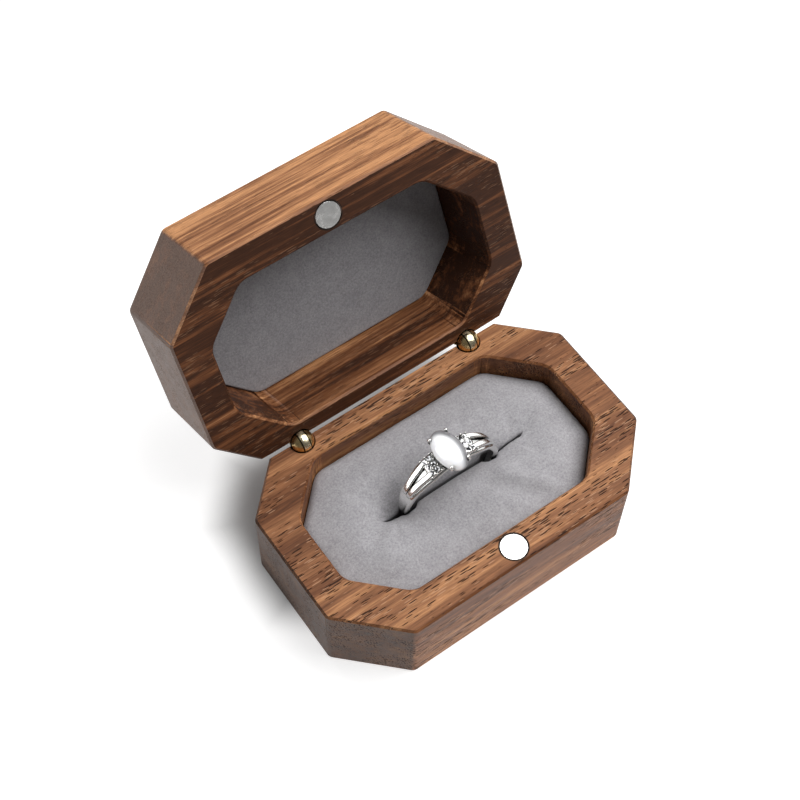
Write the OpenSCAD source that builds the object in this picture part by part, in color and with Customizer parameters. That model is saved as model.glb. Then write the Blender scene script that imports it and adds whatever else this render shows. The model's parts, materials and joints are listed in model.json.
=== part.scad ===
// Hinged wooden ring box standing open, with a ring in its cushion.
// The base rests on z = 0, centred on the origin. X runs along the hinge side,
// the hinges are at +Y and the front is at -Y.

/* [Box] */
// Length of the box, along the hinge side
box_length = 70; // [66:1:84]
// Depth of the box, from the front to the hinge side
box_depth = 45.4; // [44:0.2:56]
// Height of the base half
base_height = 18.5; // [18.5:0.5:24]
// Height of the lid half
lid_height = 18; // [18:0.5:24]
// Length cut off each corner along both of its sides
corner_cut = 11.2; // [9:0.2:13]
// Radius of the upright edges
edge_radius = 1.6; // [0.8:0.1:2.4]
// Small chamfer along the other edges of the wood
arris = 0.4; // [0.2:0.1:0.6]

/* [Cavities] */
// Thickness of the side walls
wall = 6.7; // [6.6:0.1:8]
// Length cut off each cavity corner along both of its sides
cavity_cut = 9; // [7:0.5:10]
// Radius of the cavity's upright corners
cavity_radius = 4; // [2:0.5:5]
// Wood left under the base cavity
base_floor = 2.5; // [2:0.1:2.6]
// Wood left over the lid cavity
lid_roof = 2.7; // [2:0.1:4]
// Depth from the base rim down to the cushion
cushion_depth = 4.9; // [4.5:0.1:5.5]

/* [Hinges] */
// Distance of each hinge from the middle of the box
hinge_x = 19; // [14:0.5:20]
// Distance of the hinge axis in front of the rear face
hinge_inset = 2.6; // [2.5:0.1:3]
// How far the lid stands open
lid_open = 116.5; // [60:0.5:116.5]
// Gap between the two rims when the lid is closed
seam = 0.2; // [0.1:0.05:0.3]

/* [Magnets] */
// Diameter of each magnet
magnet_d = 5; // [4:0.5:5]
// Thickness of each magnet
magnet_h = 2; // [1:0.5:3]

/* [Ring] */
// Inner diameter of the ring
ring_inner_d = 18.6; // [17:0.1:18.6]
// Thickness of the band
band_t = 1.5; // [1.2:0.1:1.5]
// Width of the band under the finger
band_w = 2.2; // [1.8:0.1:2.4]
// How far the ring is turned in its slit
ring_turn = -6; // [-12:1:12]

/* [Hidden] */
$fn = 48;

WALNUT = "#7a4a30";
SUEDE = "#a9a6ab";
CARD = "#5b5656";
FOAM = "#d9d7cf";
BRASS = "#b8924a";
NICKEL = "#dcdcdc";
SILVER = "#c4c6c8";

half_length = box_length / 2;
half_depth = box_depth / 2;
cavity_x = half_length - wall;
cavity_y = half_depth - wall;
eps = 0.01;

// rear bevels: the two bevelled faces stand almost parallel when the lid is fully open
bevel_h = 4.8;
base_bevel = 2.2;
lid_bevel = 3.8;

// hinge axis, in the middle of the closed seam
hinge_y = half_depth - hinge_inset;
hinge_z = base_height + seam / 2;
knuckle_d = 4.6;
knuckle_gap = 0.2;
tongue_w = 1.4;
tongue_gap = 0.1;
pin_d = 1;
neck_w = 3.2;
neck_t = 2.2;
stem_d = 4.2;
stem_start = 3.8;
stem_end = 11;
bore_gap = 0.05;

// magnets sit just under the rim, in slightly wider recesses
magnet_y = -(half_depth + cavity_y) / 2;
magnet_drop = 0.05;
magnet_gap = 0.2;

// soft insert, from the cavity floor up: card, foam, suede
card_t = 0.6;
suede_t = 0.6;
insert_gap = 0.1;
cushion_top = base_height - cushion_depth;
slit_length = 32;
slit_w = 0.5;

// lid insert
lid_card_t = 1;
lid_rim = base_height + seam;
lid_top = lid_rim + lid_height;

// ring, standing on edge in the slit with its axis along Y
ring_r = ring_inner_d / 2 + band_t;
ring_z = base_floor + card_t + 0.3 + ring_r;
pocket_gap = 0.4;
shoulder_w = 4.6;
stone_x = 2.4;
stone_y = 4.3;
stone_h = 2.2;
setting_wall = 0.4;
setting_h = 0.9;
stone_seat = 0.3;
claw_d = 0.7;
accent_d = 0.9;
accent_seat = 0.02;

// ---- outlines ----

// Corners of an octagon with 45 degree corner cuts, counterclockwise
function octagon(hx, hy, cut) = [
    [hx, -hy + cut], [hx, hy - cut], [hx - cut, hy], [-hx + cut, hy],
    [-hx, hy - cut], [-hx, -hy + cut], [-hx + cut, -hy], [hx - cut, -hy]
];

// The same octagon with round corners: a circle in each corner and a polygon between them
module rounded_octagon(hx, hy, cut, r) {
    centres = octagon(hx - r, hy - r, cut - r * (2 - sqrt(2)));
    polygon([for (i = [0:7]) for (turn = [i - 1, i]) centres[i] + r * [cos(45 * turn), sin(45 * turn)]]);
    for (c = centres)
        translate(c)
            circle(r);
}

// Plan of the box, made smaller by inset on every side
module box_plan(inset = 0) {
    rounded_octagon(half_length - inset, half_depth - inset,
        corner_cut - inset * (2 - sqrt(2)), edge_radius - inset);
}

// Plan of the cavities, made larger by grow on every side
module cavity_plan(grow = 0) {
    rounded_octagon(cavity_x + grow, cavity_y + grow,
        cavity_cut + grow * (2 - sqrt(2)), cavity_radius + grow);
}

// Ellipse with half axes rx and ry
module ellipse(rx, ry) {
    polygon([for (a = [0:7.5:359]) [rx * cos(a), ry * sin(a)]]);
}

// ---- wood ----

// One half of the box with its rim on z = 0 and its body below
module wooden_half(height, depth, bevel) {
    difference() {
        // outside, with a small chamfer round both faces
        hull() {
            translate([0, 0, -height])
                linear_extrude(height)
                    box_plan(arris);
            translate([0, 0, arris - height])
                linear_extrude(height - 2 * arris)
                    box_plan();
        }
        // cavity, with a small chamfer round its mouth
        translate([0, 0, -depth])
            linear_extrude(depth + 1)
                cavity_plan();
        hull() {
            translate([0, 0, -arris])
                linear_extrude(eps)
                    cavity_plan();
            linear_extrude(eps)
                cavity_plan(arris);
        }
        // bevel along the rear edge
        rotate([90, 0, 90])
            translate([0, 0, -half_length - 1])
                linear_extrude(box_length + 2)
                    polygon([[half_depth - bevel, 0], [half_depth, -bevel_h],
                        [half_depth + 1, -bevel_h], [half_depth + 1, 1], [half_depth - bevel, 1]]);
        // recess for the magnet
        translate([0, magnet_y, -magnet_h - magnet_drop])
            cylinder(d = magnet_d + 2 * magnet_gap, h = magnet_h + 1);
    }
}

// Bores and knuckle recesses for both hinges, pointing along the given direction from the axis
module hinge_sockets(direction) {
    for (side = [-1, 1])
        translate([side * hinge_x, hinge_y, hinge_z]) {
            sphere(d = knuckle_d + 2 * knuckle_gap);
            rotate([direction, 0, 0])
                cylinder(d = stem_d + 2 * bore_gap, h = stem_end + 0.2);
        }
}

// Turns a piece of the lid from its closed place to its open place
module open_lid() {
    translate([0, hinge_y, hinge_z])
        rotate([-lid_open, 0, 0])
            translate([0, -hinge_y, -hinge_z])
                children();
}

module base_shell() {
    color(WALNUT)
        difference() {
            translate([0, 0, base_height])
                wooden_half(base_height, base_height - base_floor, base_bevel);
            hinge_sockets(180);
        }
}

module lid_shell() {
    color(WALNUT)
        open_lid()
            difference() {
                translate([0, 0, lid_rim])
                    mirror([0, 0, 1])
                        wooden_half(lid_height, lid_height - lid_roof, lid_bevel);
                hinge_sockets(0);
            }
}

// ---- magnets ----

module magnet() {
    color(NICKEL)
        cylinder(d = magnet_d, h = magnet_h);
}

module base_magnet() {
    translate([0, magnet_y, base_height - magnet_drop - magnet_h])
        magnet();
}

module lid_magnet() {
    open_lid()
        translate([0, magnet_y, lid_rim + magnet_drop])
            magnet();
}

// ---- soft insert in the base ----

// Room for the ring's lower half and for its way up
module ring_pocket() {
    pocket_w = band_w + 2 * pocket_gap;
    pocket_r = ring_r + pocket_gap;
    translate([0, 0, ring_z])
        rotate([90, 0, 0])
            cylinder(r = pocket_r, h = pocket_w, center = true);
    translate([-pocket_r, -pocket_w / 2, ring_z])
        cube([2 * pocket_r, pocket_w, pocket_r]);
}

module cushion_card() {
    color(CARD)
        translate([0, 0, base_floor])
            linear_extrude(card_t)
                cavity_plan(-insert_gap);
}

// Foam on one side of the slit: side is -1 for the front and 1 for the rear
module foam_half(side) {
    foam_h = cushion_top - suede_t - base_floor - card_t;
    color(FOAM)
        difference() {
            translate([0, 0, base_floor + card_t])
                linear_extrude(foam_h)
                    intersection() {
                        cavity_plan(-insert_gap);
                        translate([-cavity_x, side > 0 ? slit_w / 2 : -cavity_y - slit_w / 2])
                            square([2 * cavity_x, cavity_y]);
                    }
            ring_pocket();
        }
}

module front_foam() {
    foam_half(-1);
}

module rear_foam() {
    foam_half(1);
}

module cushion_suede() {
    color(SUEDE)
        difference() {
            translate([0, 0, cushion_top - suede_t])
                linear_extrude(suede_t)
                    difference() {
                        cavity_plan(-insert_gap);
                        square([slit_length, slit_w], center = true);
                    }
            ring_pocket();
        }
}

// ---- insert in the lid ----

module lid_card() {
    color(CARD)
        open_lid()
            translate([0, 0, lid_top - lid_roof - lid_card_t])
                linear_extrude(lid_card_t)
                    cavity_plan(-insert_gap);
}

module lid_liner() {
    color(SUEDE)
        open_lid()
            translate([0, 0, lid_top - lid_roof - lid_card_t - suede_t])
                linear_extrude(suede_t)
                    cavity_plan(-insert_gap);
}

// ---- hinges ----

// Places a piece on the hinge axis: side is -1 for the left and 1 for the right
module at_hinge(side) {
    translate([side * hinge_x, hinge_y, hinge_z])
        children();
}

module pin_bore(gap = 0) {
    rotate([0, 90, 0])
        cylinder(d = pin_d + 2 * gap, h = knuckle_d + 2, center = true);
}

// Plug and neck below a knuckle whose centre is the origin
module plug() {
    translate([0, 0, -stem_end])
        cylinder(d = stem_d, h = stem_end - stem_start);
    translate([-neck_w / 2, -neck_t / 2, -stem_start])
        cube([neck_w, neck_t, stem_start]);
}

// Knuckle with a slot for the tongue
module base_barrel() {
    slot_w = tongue_w + 2 * tongue_gap;
    slot_bottom = knuckle_d / 2 + tongue_gap;
    color(BRASS)
        difference() {
            union() {
                plug();
                sphere(d = knuckle_d);
            }
            translate([-slot_w / 2, -knuckle_d, -slot_bottom])
                cube([slot_w, 2 * knuckle_d, 2 * knuckle_d]);
            pin_bore();
        }
}

// Tongue that turns in the slot, with its plug above it
module lid_barrel() {
    color(BRASS)
        difference() {
            mirror([0, 0, 1])
                union() {
                    plug();
                    sphere(d = knuckle_d);
                }
            for (side = [-1, 1])
                translate([side * (tongue_w / 2 + knuckle_d), 0, tongue_gap])
                    cube([2 * knuckle_d, 2 * knuckle_d, knuckle_d], center = true);
            pin_bore(tongue_gap);
        }
}

module hinge_pin() {
    color(BRASS)
        rotate([0, 90, 0])
            cylinder(d = pin_d, h = knuckle_d - 0.4, center = true);
}

module left_base_barrel() {
    at_hinge(-1)
        base_barrel();
}

module right_base_barrel() {
    at_hinge(1)
        base_barrel();
}

module left_hinge_pin() {
    at_hinge(-1)
        hinge_pin();
}

module right_hinge_pin() {
    at_hinge(1)
        hinge_pin();
}

module left_lid_barrel() {
    open_lid()
        at_hinge(-1)
            lid_barrel();
}

module right_lid_barrel() {
    open_lid()
        at_hinge(1)
            lid_barrel();
}

// ---- ring ----
// Each piece is drawn with the ring's centre on the origin and the setting on top.

module place_ring() {
    translate([0, 0, ring_z])
        rotate([0, ring_turn, 0])
            children();
}

// Tube round the Y axis
module tube(inner, outer, width) {
    rotate([90, 0, 0])
        difference() {
            cylinder(r = outer, h = width, center = true, $fn = 96);
            cylinder(r = inner, h = width + 1, center = true, $fn = 96);
        }
}

// Places of the accent stones on one shoulder, as distance along X and Y
accent_places = [for (x = [3.5, 4.4]) for (y = [-1.1, 0, 1.1]) [x, y]];

module accent_stones(side, gap = 0) {
    for (p = accent_places)
        translate([side * p[0], p[1], sqrt(pow(ring_r + accent_d / 5, 2) - p[0] * p[0])])
            sphere(d = accent_d + 2 * gap, $fn = 24);
}

// Half of the plan of one split shoulder: wide at the setting, narrow at the side of the finger
module shoulder_plan(side) {
    polygon([[0, -shoulder_w / 2], [side * 4.6, -shoulder_w / 2], [side * (ring_r + 1), -band_w / 2],
        [side * (ring_r + 1), band_w / 2], [side * 4.6, shoulder_w / 2], [0, shoulder_w / 2]]);
}

// Opening between the two arms of a split shoulder
module shoulder_opening(side) {
    polygon([[side * 5.3, -1.3], [side * 9, 0], [side * 5.3, 1.3]]);
}

module ring_band() {
    inner = ring_inner_d / 2;
    color(SILVER)
        place_ring()
            difference() {
                union() {
                    // narrow lower half
                    intersection() {
                        tube(inner, ring_r, band_w);
                        translate([-2 * ring_r, -ring_r, -2 * ring_r])
                            cube([4 * ring_r, 2 * ring_r, 2 * ring_r]);
                    }
                    // upper half with the split shoulders
                    intersection() {
                        tube(inner, ring_r, shoulder_w);
                        linear_extrude(2 * ring_r)
                            for (side = [-1, 1])
                                difference() {
                                    shoulder_plan(side);
                                    shoulder_opening(side);
                                }
                    }
                }
                for (side = [-1, 1])
                    accent_stones(side, accent_seat);
            }
}

module ring_setting() {
    rim = ring_r + setting_h;
    color(SILVER)
        place_ring()
            difference() {
                union() {
                    translate([0, 0, ring_r - 1])
                        linear_extrude(setting_h + 1)
                            ellipse(stone_x + setting_wall, stone_y + setting_wall);
                    // claws round the stone
                    for (a = [30, 90, 150, 210, 270, 330])
                        translate([(stone_x + claw_d / 2 + 0.1) * cos(a), (stone_y + claw_d / 2 + 0.1) * sin(a), 0]) {
                            translate([0, 0, ring_r])
                                cylinder(d = claw_d, h = setting_h + 0.5, $fn = 24);
                            translate([0, 0, rim + 0.5])
                                sphere(d = claw_d, $fn = 24);
                        }
                }
                // underside follows the band
                rotate([90, 0, 0])
                    cylinder(r = ring_r, h = 4 * stone_y, center = true, $fn = 96);
                // seat of the stone
                translate([0, 0, rim - stone_seat])
                    linear_extrude(setting_h)
                        ellipse(stone_x, stone_y);
            }
}

module ring_stone() {
    seat_z = ring_r + setting_h - stone_seat;
    color("white")
        place_ring()
            intersection() {
                translate([0, 0, seat_z])
                    scale([stone_x - 0.02, stone_y - 0.02, stone_h])
                        sphere(r = 1);
                translate([0, 0, seat_z + 2 * stone_y])
                    cube(4 * stone_y, center = true);
            }
}

module left_accent_stones() {
    color("white")
        place_ring()
            accent_stones(-1);
}

module right_accent_stones() {
    color("white")
        place_ring()
            accent_stones(1);
}

base_shell();
base_magnet();
cushion_card();
front_foam();
rear_foam();
cushion_suede();
left_base_barrel();
right_base_barrel();
left_hinge_pin();
right_hinge_pin();
lid_shell();
lid_magnet();
lid_card();
lid_liner();
left_lid_barrel();
right_lid_barrel();
ring_band();
ring_setting();
ring_stone();
left_accent_stones();
right_accent_stones();
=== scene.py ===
import json
import math

import bmesh
import bpy
from mathutils import Matrix, Vector, noise


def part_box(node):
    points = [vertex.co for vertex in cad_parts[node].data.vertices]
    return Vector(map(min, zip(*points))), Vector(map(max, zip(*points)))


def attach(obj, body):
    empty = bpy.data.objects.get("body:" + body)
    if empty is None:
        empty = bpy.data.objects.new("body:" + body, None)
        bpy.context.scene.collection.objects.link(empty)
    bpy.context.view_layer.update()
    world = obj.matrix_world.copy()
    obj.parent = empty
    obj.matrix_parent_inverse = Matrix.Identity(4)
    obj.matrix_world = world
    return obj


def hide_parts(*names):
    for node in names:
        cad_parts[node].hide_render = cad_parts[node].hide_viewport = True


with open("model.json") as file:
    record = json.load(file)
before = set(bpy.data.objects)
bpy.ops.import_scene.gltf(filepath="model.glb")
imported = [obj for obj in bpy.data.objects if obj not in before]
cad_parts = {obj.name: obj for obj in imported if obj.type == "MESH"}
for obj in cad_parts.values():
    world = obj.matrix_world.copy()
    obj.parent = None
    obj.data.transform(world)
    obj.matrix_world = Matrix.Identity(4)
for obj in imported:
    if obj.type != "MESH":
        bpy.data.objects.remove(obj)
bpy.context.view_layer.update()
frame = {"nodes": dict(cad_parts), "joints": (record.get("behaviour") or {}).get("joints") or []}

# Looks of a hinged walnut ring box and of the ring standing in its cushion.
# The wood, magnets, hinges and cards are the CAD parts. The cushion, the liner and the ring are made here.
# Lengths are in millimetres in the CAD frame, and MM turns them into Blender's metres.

MM = 0.001
nodes = frame["nodes"]


def box_mm(name):
    """Lowest and highest corner of a CAD node, in millimetres."""
    low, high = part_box(name)
    return low / MM, high / MM


def joint_value(name, key):
    """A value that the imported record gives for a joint."""
    return next(j for j in frame["joints"] if j["name"] == name)[key]


def smoothstep(low, high, x):
    """0 below low, 1 above high, and a smooth step between them."""
    t = min(1.0, max(0.0, (x - low) / (high - low)))
    return t * t * (3 - 2 * t)


def hump(x, width):
    """A bell curve of height 1 with its middle at x = 0."""
    return math.exp(-((x / width) ** 2))


# ---- sizes of the CAD parts that their boxes don't show ----

OUTER_CUT = 11.2
SUEDE_CUT = 8.94
SUEDE_RADIUS = 3.9
BAND_THICKNESS = 1.5
TONGUE_HALF_X = 0.7


# ---- camera ----

CAMERA_AZIMUTH = math.radians(-36.5)
CAMERA_ELEVATION = math.radians(59.7)
CAMERA_ROLL = math.radians(1.25)
CAMERA_LENS = 72.64
CAMERA_DISTANCE = 295.8
CAMERA_AIM = Vector((-1.09, 14.24, 24.27))


def direction(azimuth, elevation):
    """Unit vector from the object towards a place round it. Azimuth 0 is the front, and 90 degrees is +X."""
    flat = math.cos(elevation)
    return Vector((math.sin(azimuth) * flat, -math.cos(azimuth) * flat, math.sin(elevation)))


def add_camera():
    back = direction(CAMERA_AZIMUTH, CAMERA_ELEVATION)
    data = bpy.data.cameras.new("camera")
    data.lens = CAMERA_LENS
    data.clip_start = 0.01
    data.clip_end = 10
    camera = bpy.data.objects.new("camera", data)
    bpy.context.scene.collection.objects.link(camera)
    turn = back.to_track_quat("Z", "Y").to_matrix() @ Matrix.Rotation(CAMERA_ROLL, 3, "Z")
    camera.matrix_world = Matrix.Translation((CAMERA_AIM + CAMERA_DISTANCE * back) * MM) @ turn.to_4x4()
    bpy.context.scene.camera = camera


# ---- light and floor ----

LIT_POINT = Vector((0, 0.015, 0.02))
ROOM_LIGHT = 0.13
FLOOR_HALF = 1.5
FLOOR_FADE = (110, 230)
# FLOOR_GLOW is painted light: the floor glows. Near the base the glow drops to SHADE_GLOW as a painted
# shadow, shifted by SHADE_SHIFT.
FLOOR_GLOW = 0.7
SHADE_GLOW = 0.05
SHADE_EDGE = (-7.0, 3.0)
SHADE_SHIFT = (-4.6, 12.0)


def add_softbox(name, azimuth, elevation, distance, size, power):
    """A square area light that faces the box. Distance and size are in metres, angles in degrees."""
    data = bpy.data.lights.new(name, "AREA")
    data.shape = "SQUARE"
    data.size = size
    data.energy = power
    light = bpy.data.objects.new(name, data)
    bpy.context.scene.collection.objects.link(light)
    back = direction(math.radians(azimuth), math.radians(elevation))
    turn = back.to_track_quat("Z", "Y").to_matrix()
    light.matrix_world = Matrix.Translation(LIT_POINT + back * distance) @ turn.to_4x4()
    return light


def add_lights(ring_pieces):
    """A large soft light at the right, a weaker one behind, and a dim room.

    Two weak cards light the ring only, as white cards close to the silver do in a studio.
    """
    add_softbox("key_light", azimuth=72, elevation=63, distance=0.7, size=0.6, power=5.8)
    add_softbox("back_light", azimuth=170, elevation=42, distance=0.7, size=0.4, power=1.8)
    only_ring = bpy.data.collections.new("only_ring")
    for piece in ring_pieces:
        only_ring.objects.link(piece)
    left_card = add_softbox("left_card", azimuth=-118, elevation=18, distance=0.45, size=0.5, power=2.4)
    right_card = add_softbox("right_card", azimuth=113, elevation=12, distance=0.45, size=0.5, power=1.0)
    for card_light in (left_card, right_card):
        card_light.light_linking.receiver_collection = only_ring
    bpy.context.scene.view_settings.view_transform = "Standard"
    world = bpy.data.worlds.new("studio")
    world.use_nodes = True
    world.node_tree.nodes["Background"].inputs["Color"].default_value = (1, 1, 1, 1)
    world.node_tree.nodes["Background"].inputs["Strength"].default_value = ROOM_LIGHT
    bpy.context.scene.world = world


def past_octagon(finish, place, half_x, half_y, cut):
    """How far a point lies past an octagon's sides, and past its cut corners along X and Y together."""
    x = finish.math("ABSOLUTE", finish.axis(place, 0))
    y = finish.math("ABSOLUTE", finish.axis(place, 1))
    past_end = finish.math("SUBTRACT", x, half_x)
    past_side = finish.math("SUBTRACT", y, half_y)
    past_corner = finish.math("SUBTRACT", finish.math("ADD", x, y), half_x + half_y - cut)
    return finish.math("MAXIMUM", past_end, past_side), past_corner


def past_shade(finish, place):
    """How far a point of the floor lies outside the painted shadow of the base, which falls to the left and
    rear.
    """
    half_x, half_y = box_mm("base_shell")[1].xy
    from_shade = finish.shift(place, (-SHADE_SHIFT[0], -SHADE_SHIFT[1], 0))
    past_side, past_corner = past_octagon(finish, from_shade, half_x, half_y, OUTER_CUT)
    return finish.math("MAXIMUM", past_side, finish.math("MULTIPLY", past_corner, math.sqrt(0.5)))


def add_floor():
    """Plain white floor that glows round the box, with a painted shadow of the base where the glow drops,
    and darker, without glow, far away.
    """
    corners = [(x * FLOOR_HALF, y * FLOOR_HALF, 0) for x, y in ((-1, -1), (1, -1), (1, 1), (-1, 1))]
    data = bpy.data.meshes.new("floor")
    data.from_pydata(corners, [], [(0, 1, 2, 3)])
    floor = bpy.data.objects.new("floor", data)
    bpy.context.scene.collection.objects.link(floor)
    finish = Finish("white_paper_painted_glow")
    place = finish.millimetres()
    far = finish.remap(finish.length(place), *FLOOR_FADE)
    grain = finish.noise(place, 0.8, detail=3)
    near_white = finish.ramp(grain, (0, (0.6, 0.6, 0.6)), (1, (0.64, 0.64, 0.64)))
    finish.put("Base Color", finish.mix(far, near_white, (0.5, 0.5, 0.5)))
    finish.put("Roughness", 0.9)
    finish.put("Emission Color", (1, 1, 1, 1))
    # Painted light and shadow: the floor glows, except in the painted shadow of the base.
    glow = finish.remap(past_shade(finish, place), *SHADE_EDGE, SHADE_GLOW, FLOOR_GLOW)
    finish.put("Emission Strength", finish.math("MULTIPLY", glow, finish.math("SUBTRACT", 1.0, far)))
    data.materials.append(finish.material)


# ---- materials ----

class Finish:
    """A material that is being built. Each method adds a node and returns its output."""

    def __init__(self, name):
        self.material = bpy.data.materials.new(name)
        self.material.use_nodes = True
        self.tree = self.material.node_tree
        self.shader = self.tree.nodes["Principled BSDF"]

    def node(self, kind, **settings):
        made = self.tree.nodes.new("ShaderNode" + kind)
        for key, value in settings.items():
            setattr(made, key, value)
        return made

    def feed(self, socket, value):
        """Links an output to a socket, or sets the socket to a plain value."""
        if isinstance(value, bpy.types.NodeSocket):
            self.tree.links.new(value, socket)
        elif hasattr(value, "__len__") and len(value) == 3 and socket.type == "RGBA":
            socket.default_value = (*value, 1)
        else:
            socket.default_value = value

    def put(self, name, value):
        """Sets or links one input of the shader."""
        self.feed(self.shader.inputs[name], value)

    def millimetres(self, turn=0.0, shift=(0, 0, 0)):
        """Object coordinates in millimetres, turned about X and then shifted."""
        place = self.node("TexCoord").outputs["Object"]
        made = self.node("Mapping", vector_type="POINT")
        self.feed(made.inputs["Vector"], place)
        made.inputs["Scale"].default_value = (1 / MM, 1 / MM, 1 / MM)
        made.inputs["Rotation"].default_value = (turn, 0, 0)
        made.inputs["Location"].default_value = shift
        return made.outputs[0]

    def stretch(self, vector, scale):
        made = self.node("VectorMath", operation="MULTIPLY")
        self.feed(made.inputs[0], vector)
        made.inputs[1].default_value = scale
        return made.outputs[0]

    def shift(self, vector, by):
        made = self.node("VectorMath", operation="ADD")
        self.feed(made.inputs[0], vector)
        made.inputs[1].default_value = by
        return made.outputs[0]

    def length(self, vector):
        made = self.node("VectorMath", operation="LENGTH")
        self.feed(made.inputs[0], vector)
        return made.outputs["Value"]

    def noise(self, vector, scale, detail=2.0, roughness=0.5, distortion=0.0):
        made = self.node("TexNoise")
        self.feed(made.inputs["Vector"], vector)
        made.inputs["Scale"].default_value = scale
        made.inputs["Detail"].default_value = detail
        made.inputs["Roughness"].default_value = roughness
        made.inputs["Distortion"].default_value = distortion
        return made.outputs[0]

    def cells(self, vector, scale, output="Distance"):
        """Distance to the nearest of many scattered points, or that point's own Color."""
        made = self.node("TexVoronoi")
        self.feed(made.inputs["Vector"], vector)
        made.inputs["Scale"].default_value = scale
        return made.outputs[output]

    def math(self, operation, a, b=0.0):
        made = self.node("Math", operation=operation)
        self.feed(made.inputs[0], a)
        self.feed(made.inputs[1], b)
        return made.outputs[0]

    def remap(self, value, low, high, to_low=0.0, to_high=1.0):
        """A smooth step of value between low and high."""
        made = self.node("MapRange", interpolation_type="SMOOTHSTEP")
        self.feed(made.inputs["Value"], value)
        made.inputs["From Min"].default_value = low
        made.inputs["From Max"].default_value = high
        made.inputs["To Min"].default_value = to_low
        made.inputs["To Max"].default_value = to_high
        return made.outputs[0]

    def ramp(self, value, *stops):
        """Colour ramp from (position, colour) stops."""
        made = self.node("ValToRGB")
        elements = made.color_ramp.elements
        while len(elements) < len(stops):
            elements.new(0.5)
        for element, (position, colour) in zip(elements, stops):
            element.position = position
            element.color = (*colour, 1)
        self.feed(made.inputs["Fac"], value)
        return made.outputs["Color"]

    def mix(self, factor, a, b, blend="MIX"):
        made = self.node("Mix", data_type="RGBA", blend_type=blend)
        self.feed(made.inputs[0], factor)
        self.feed(made.inputs[6], a)
        self.feed(made.inputs[7], b)
        return made.outputs[2]

    def bump(self, height, distance_mm, strength=1.0, normal=None):
        made = self.node("Bump")
        self.feed(made.inputs["Height"], height)
        made.inputs["Distance"].default_value = distance_mm * MM
        made.inputs["Strength"].default_value = strength
        if normal is not None:
            self.feed(made.inputs["Normal"], normal)
        return made.outputs[0]

    def axis(self, vector, index):
        """One coordinate of a vector: 0 is X and 2 is Z."""
        split = self.node("SeparateXYZ")
        self.feed(split.inputs[0], vector)
        return split.outputs[index]

    def facing(self, index):
        """How far the surface looks along an axis of the object."""
        return self.axis(self.node("TexCoord").outputs["Normal"], index)


# The cavity's outline, about as in the CAD model. It only parts the outside walls from the inside ones.
CAVITY_HALF_X = 28.3
CAVITY_HALF_Y = 16.0
CAVITY_CUT = 8.9

WALNUT_STOPS = (
    (0.38, (0.05, 0.017, 0.0065)),
    (0.455, (0.155, 0.056, 0.021)),
    (0.525, (0.28, 0.118, 0.05)),
    (0.6, (0.56, 0.27, 0.118)),
)
PORE_DARK = (0.03, 0.012, 0.007)
PORE_HIGHLIGHT = (0.58, 0.32, 0.18)
GAP_SHADE_DARK = (0.01, 0.006, 0.004)
END_DARK = (0.085, 0.058, 0.046)
END_PALE = (0.15, 0.105, 0.085)


def scaled(colour, by):
    """A colour that is darker or paler by a factor."""
    return tuple(by * value for value in colour)


def outer_walls(wood, part, turn):
    """1 on the walls round the outside of the box and 0 on the walls of the cavity."""
    turned = [Matrix.Rotation(turn, 3, "X") @ v.co / MM for v in nodes[part].data.vertices]
    middle_y = (min(v.y for v in turned) + max(v.y for v in turned)) / 2
    from_middle = wood.shift(wood.millimetres(turn), (0, -middle_y, 0))
    past_side, past_corner = past_octagon(wood, from_middle, CAVITY_HALF_X, CAVITY_HALF_Y, CAVITY_CUT)
    return wood.remap(wood.math("MAXIMUM", past_side, past_corner), 2.0, 3.0)


def growth_tone(wood, place, streaks, banding, contrast):
    """Wide growth bands and narrow streaks along the grain, about 0.5."""
    stretched = wood.stretch(place, (0.012, 0.16, 0.16))
    bands = wood.noise(stretched, 1.0, detail=4, roughness=0.55, distortion=0.5)
    band_share = wood.math("MULTIPLY", bands, banding)
    streak_share = wood.math("MULTIPLY", streaks, 1 - banding)
    tone = wood.math("MULTIPLY", wood.math("ADD", band_share, streak_share), contrast)
    return wood.math("ADD", tone, (1 - contrast) / 2)


def open_pores(wood, place):
    """Short open pores along the grain, and a painted highlight on the wood beside each of them."""
    pore_place = wood.stretch(place, (0.32, 2.7, 2.7))
    field = wood.noise(wood.stretch(place, (0.03, 0.25, 0.25)), 1.0, detail=3)
    size = wood.remap(field, 0.36, 0.58, 0.09, 0.38)
    pores = wood.remap(wood.math("SUBTRACT", size, wood.cells(pore_place, 1.0)), 0.0, 0.08)
    beside = wood.math("SUBTRACT", size, wood.cells(wood.shift(pore_place, (0.1, 0.3, -0.3)), 1.0))
    pore_highlight = wood.math("MULTIPLY", wood.remap(beside, 0.0, 0.1), wood.math("SUBTRACT", 1.0, pores))
    return pores, pore_highlight


def painted_gap_shade(wood, colour, magnet):
    """Darkens the wood in a thin ring round a magnet, as painted shade of the gap round it."""
    low, high = box_mm(magnet)
    flat_low, flat_high = box_mm("base_magnet")
    rim = math.hypot((high.x - low.x) / 2, (flat_high.z - flat_low.z) / 2)
    from_magnet = wood.length(wood.shift(wood.millimetres(), -(low + high) / 2))
    return wood.mix(wood.remap(from_magnet, rim + 0.24, rim + 0.42, 0.92, 0.0), colour, GAP_SHADE_DARK)


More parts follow.
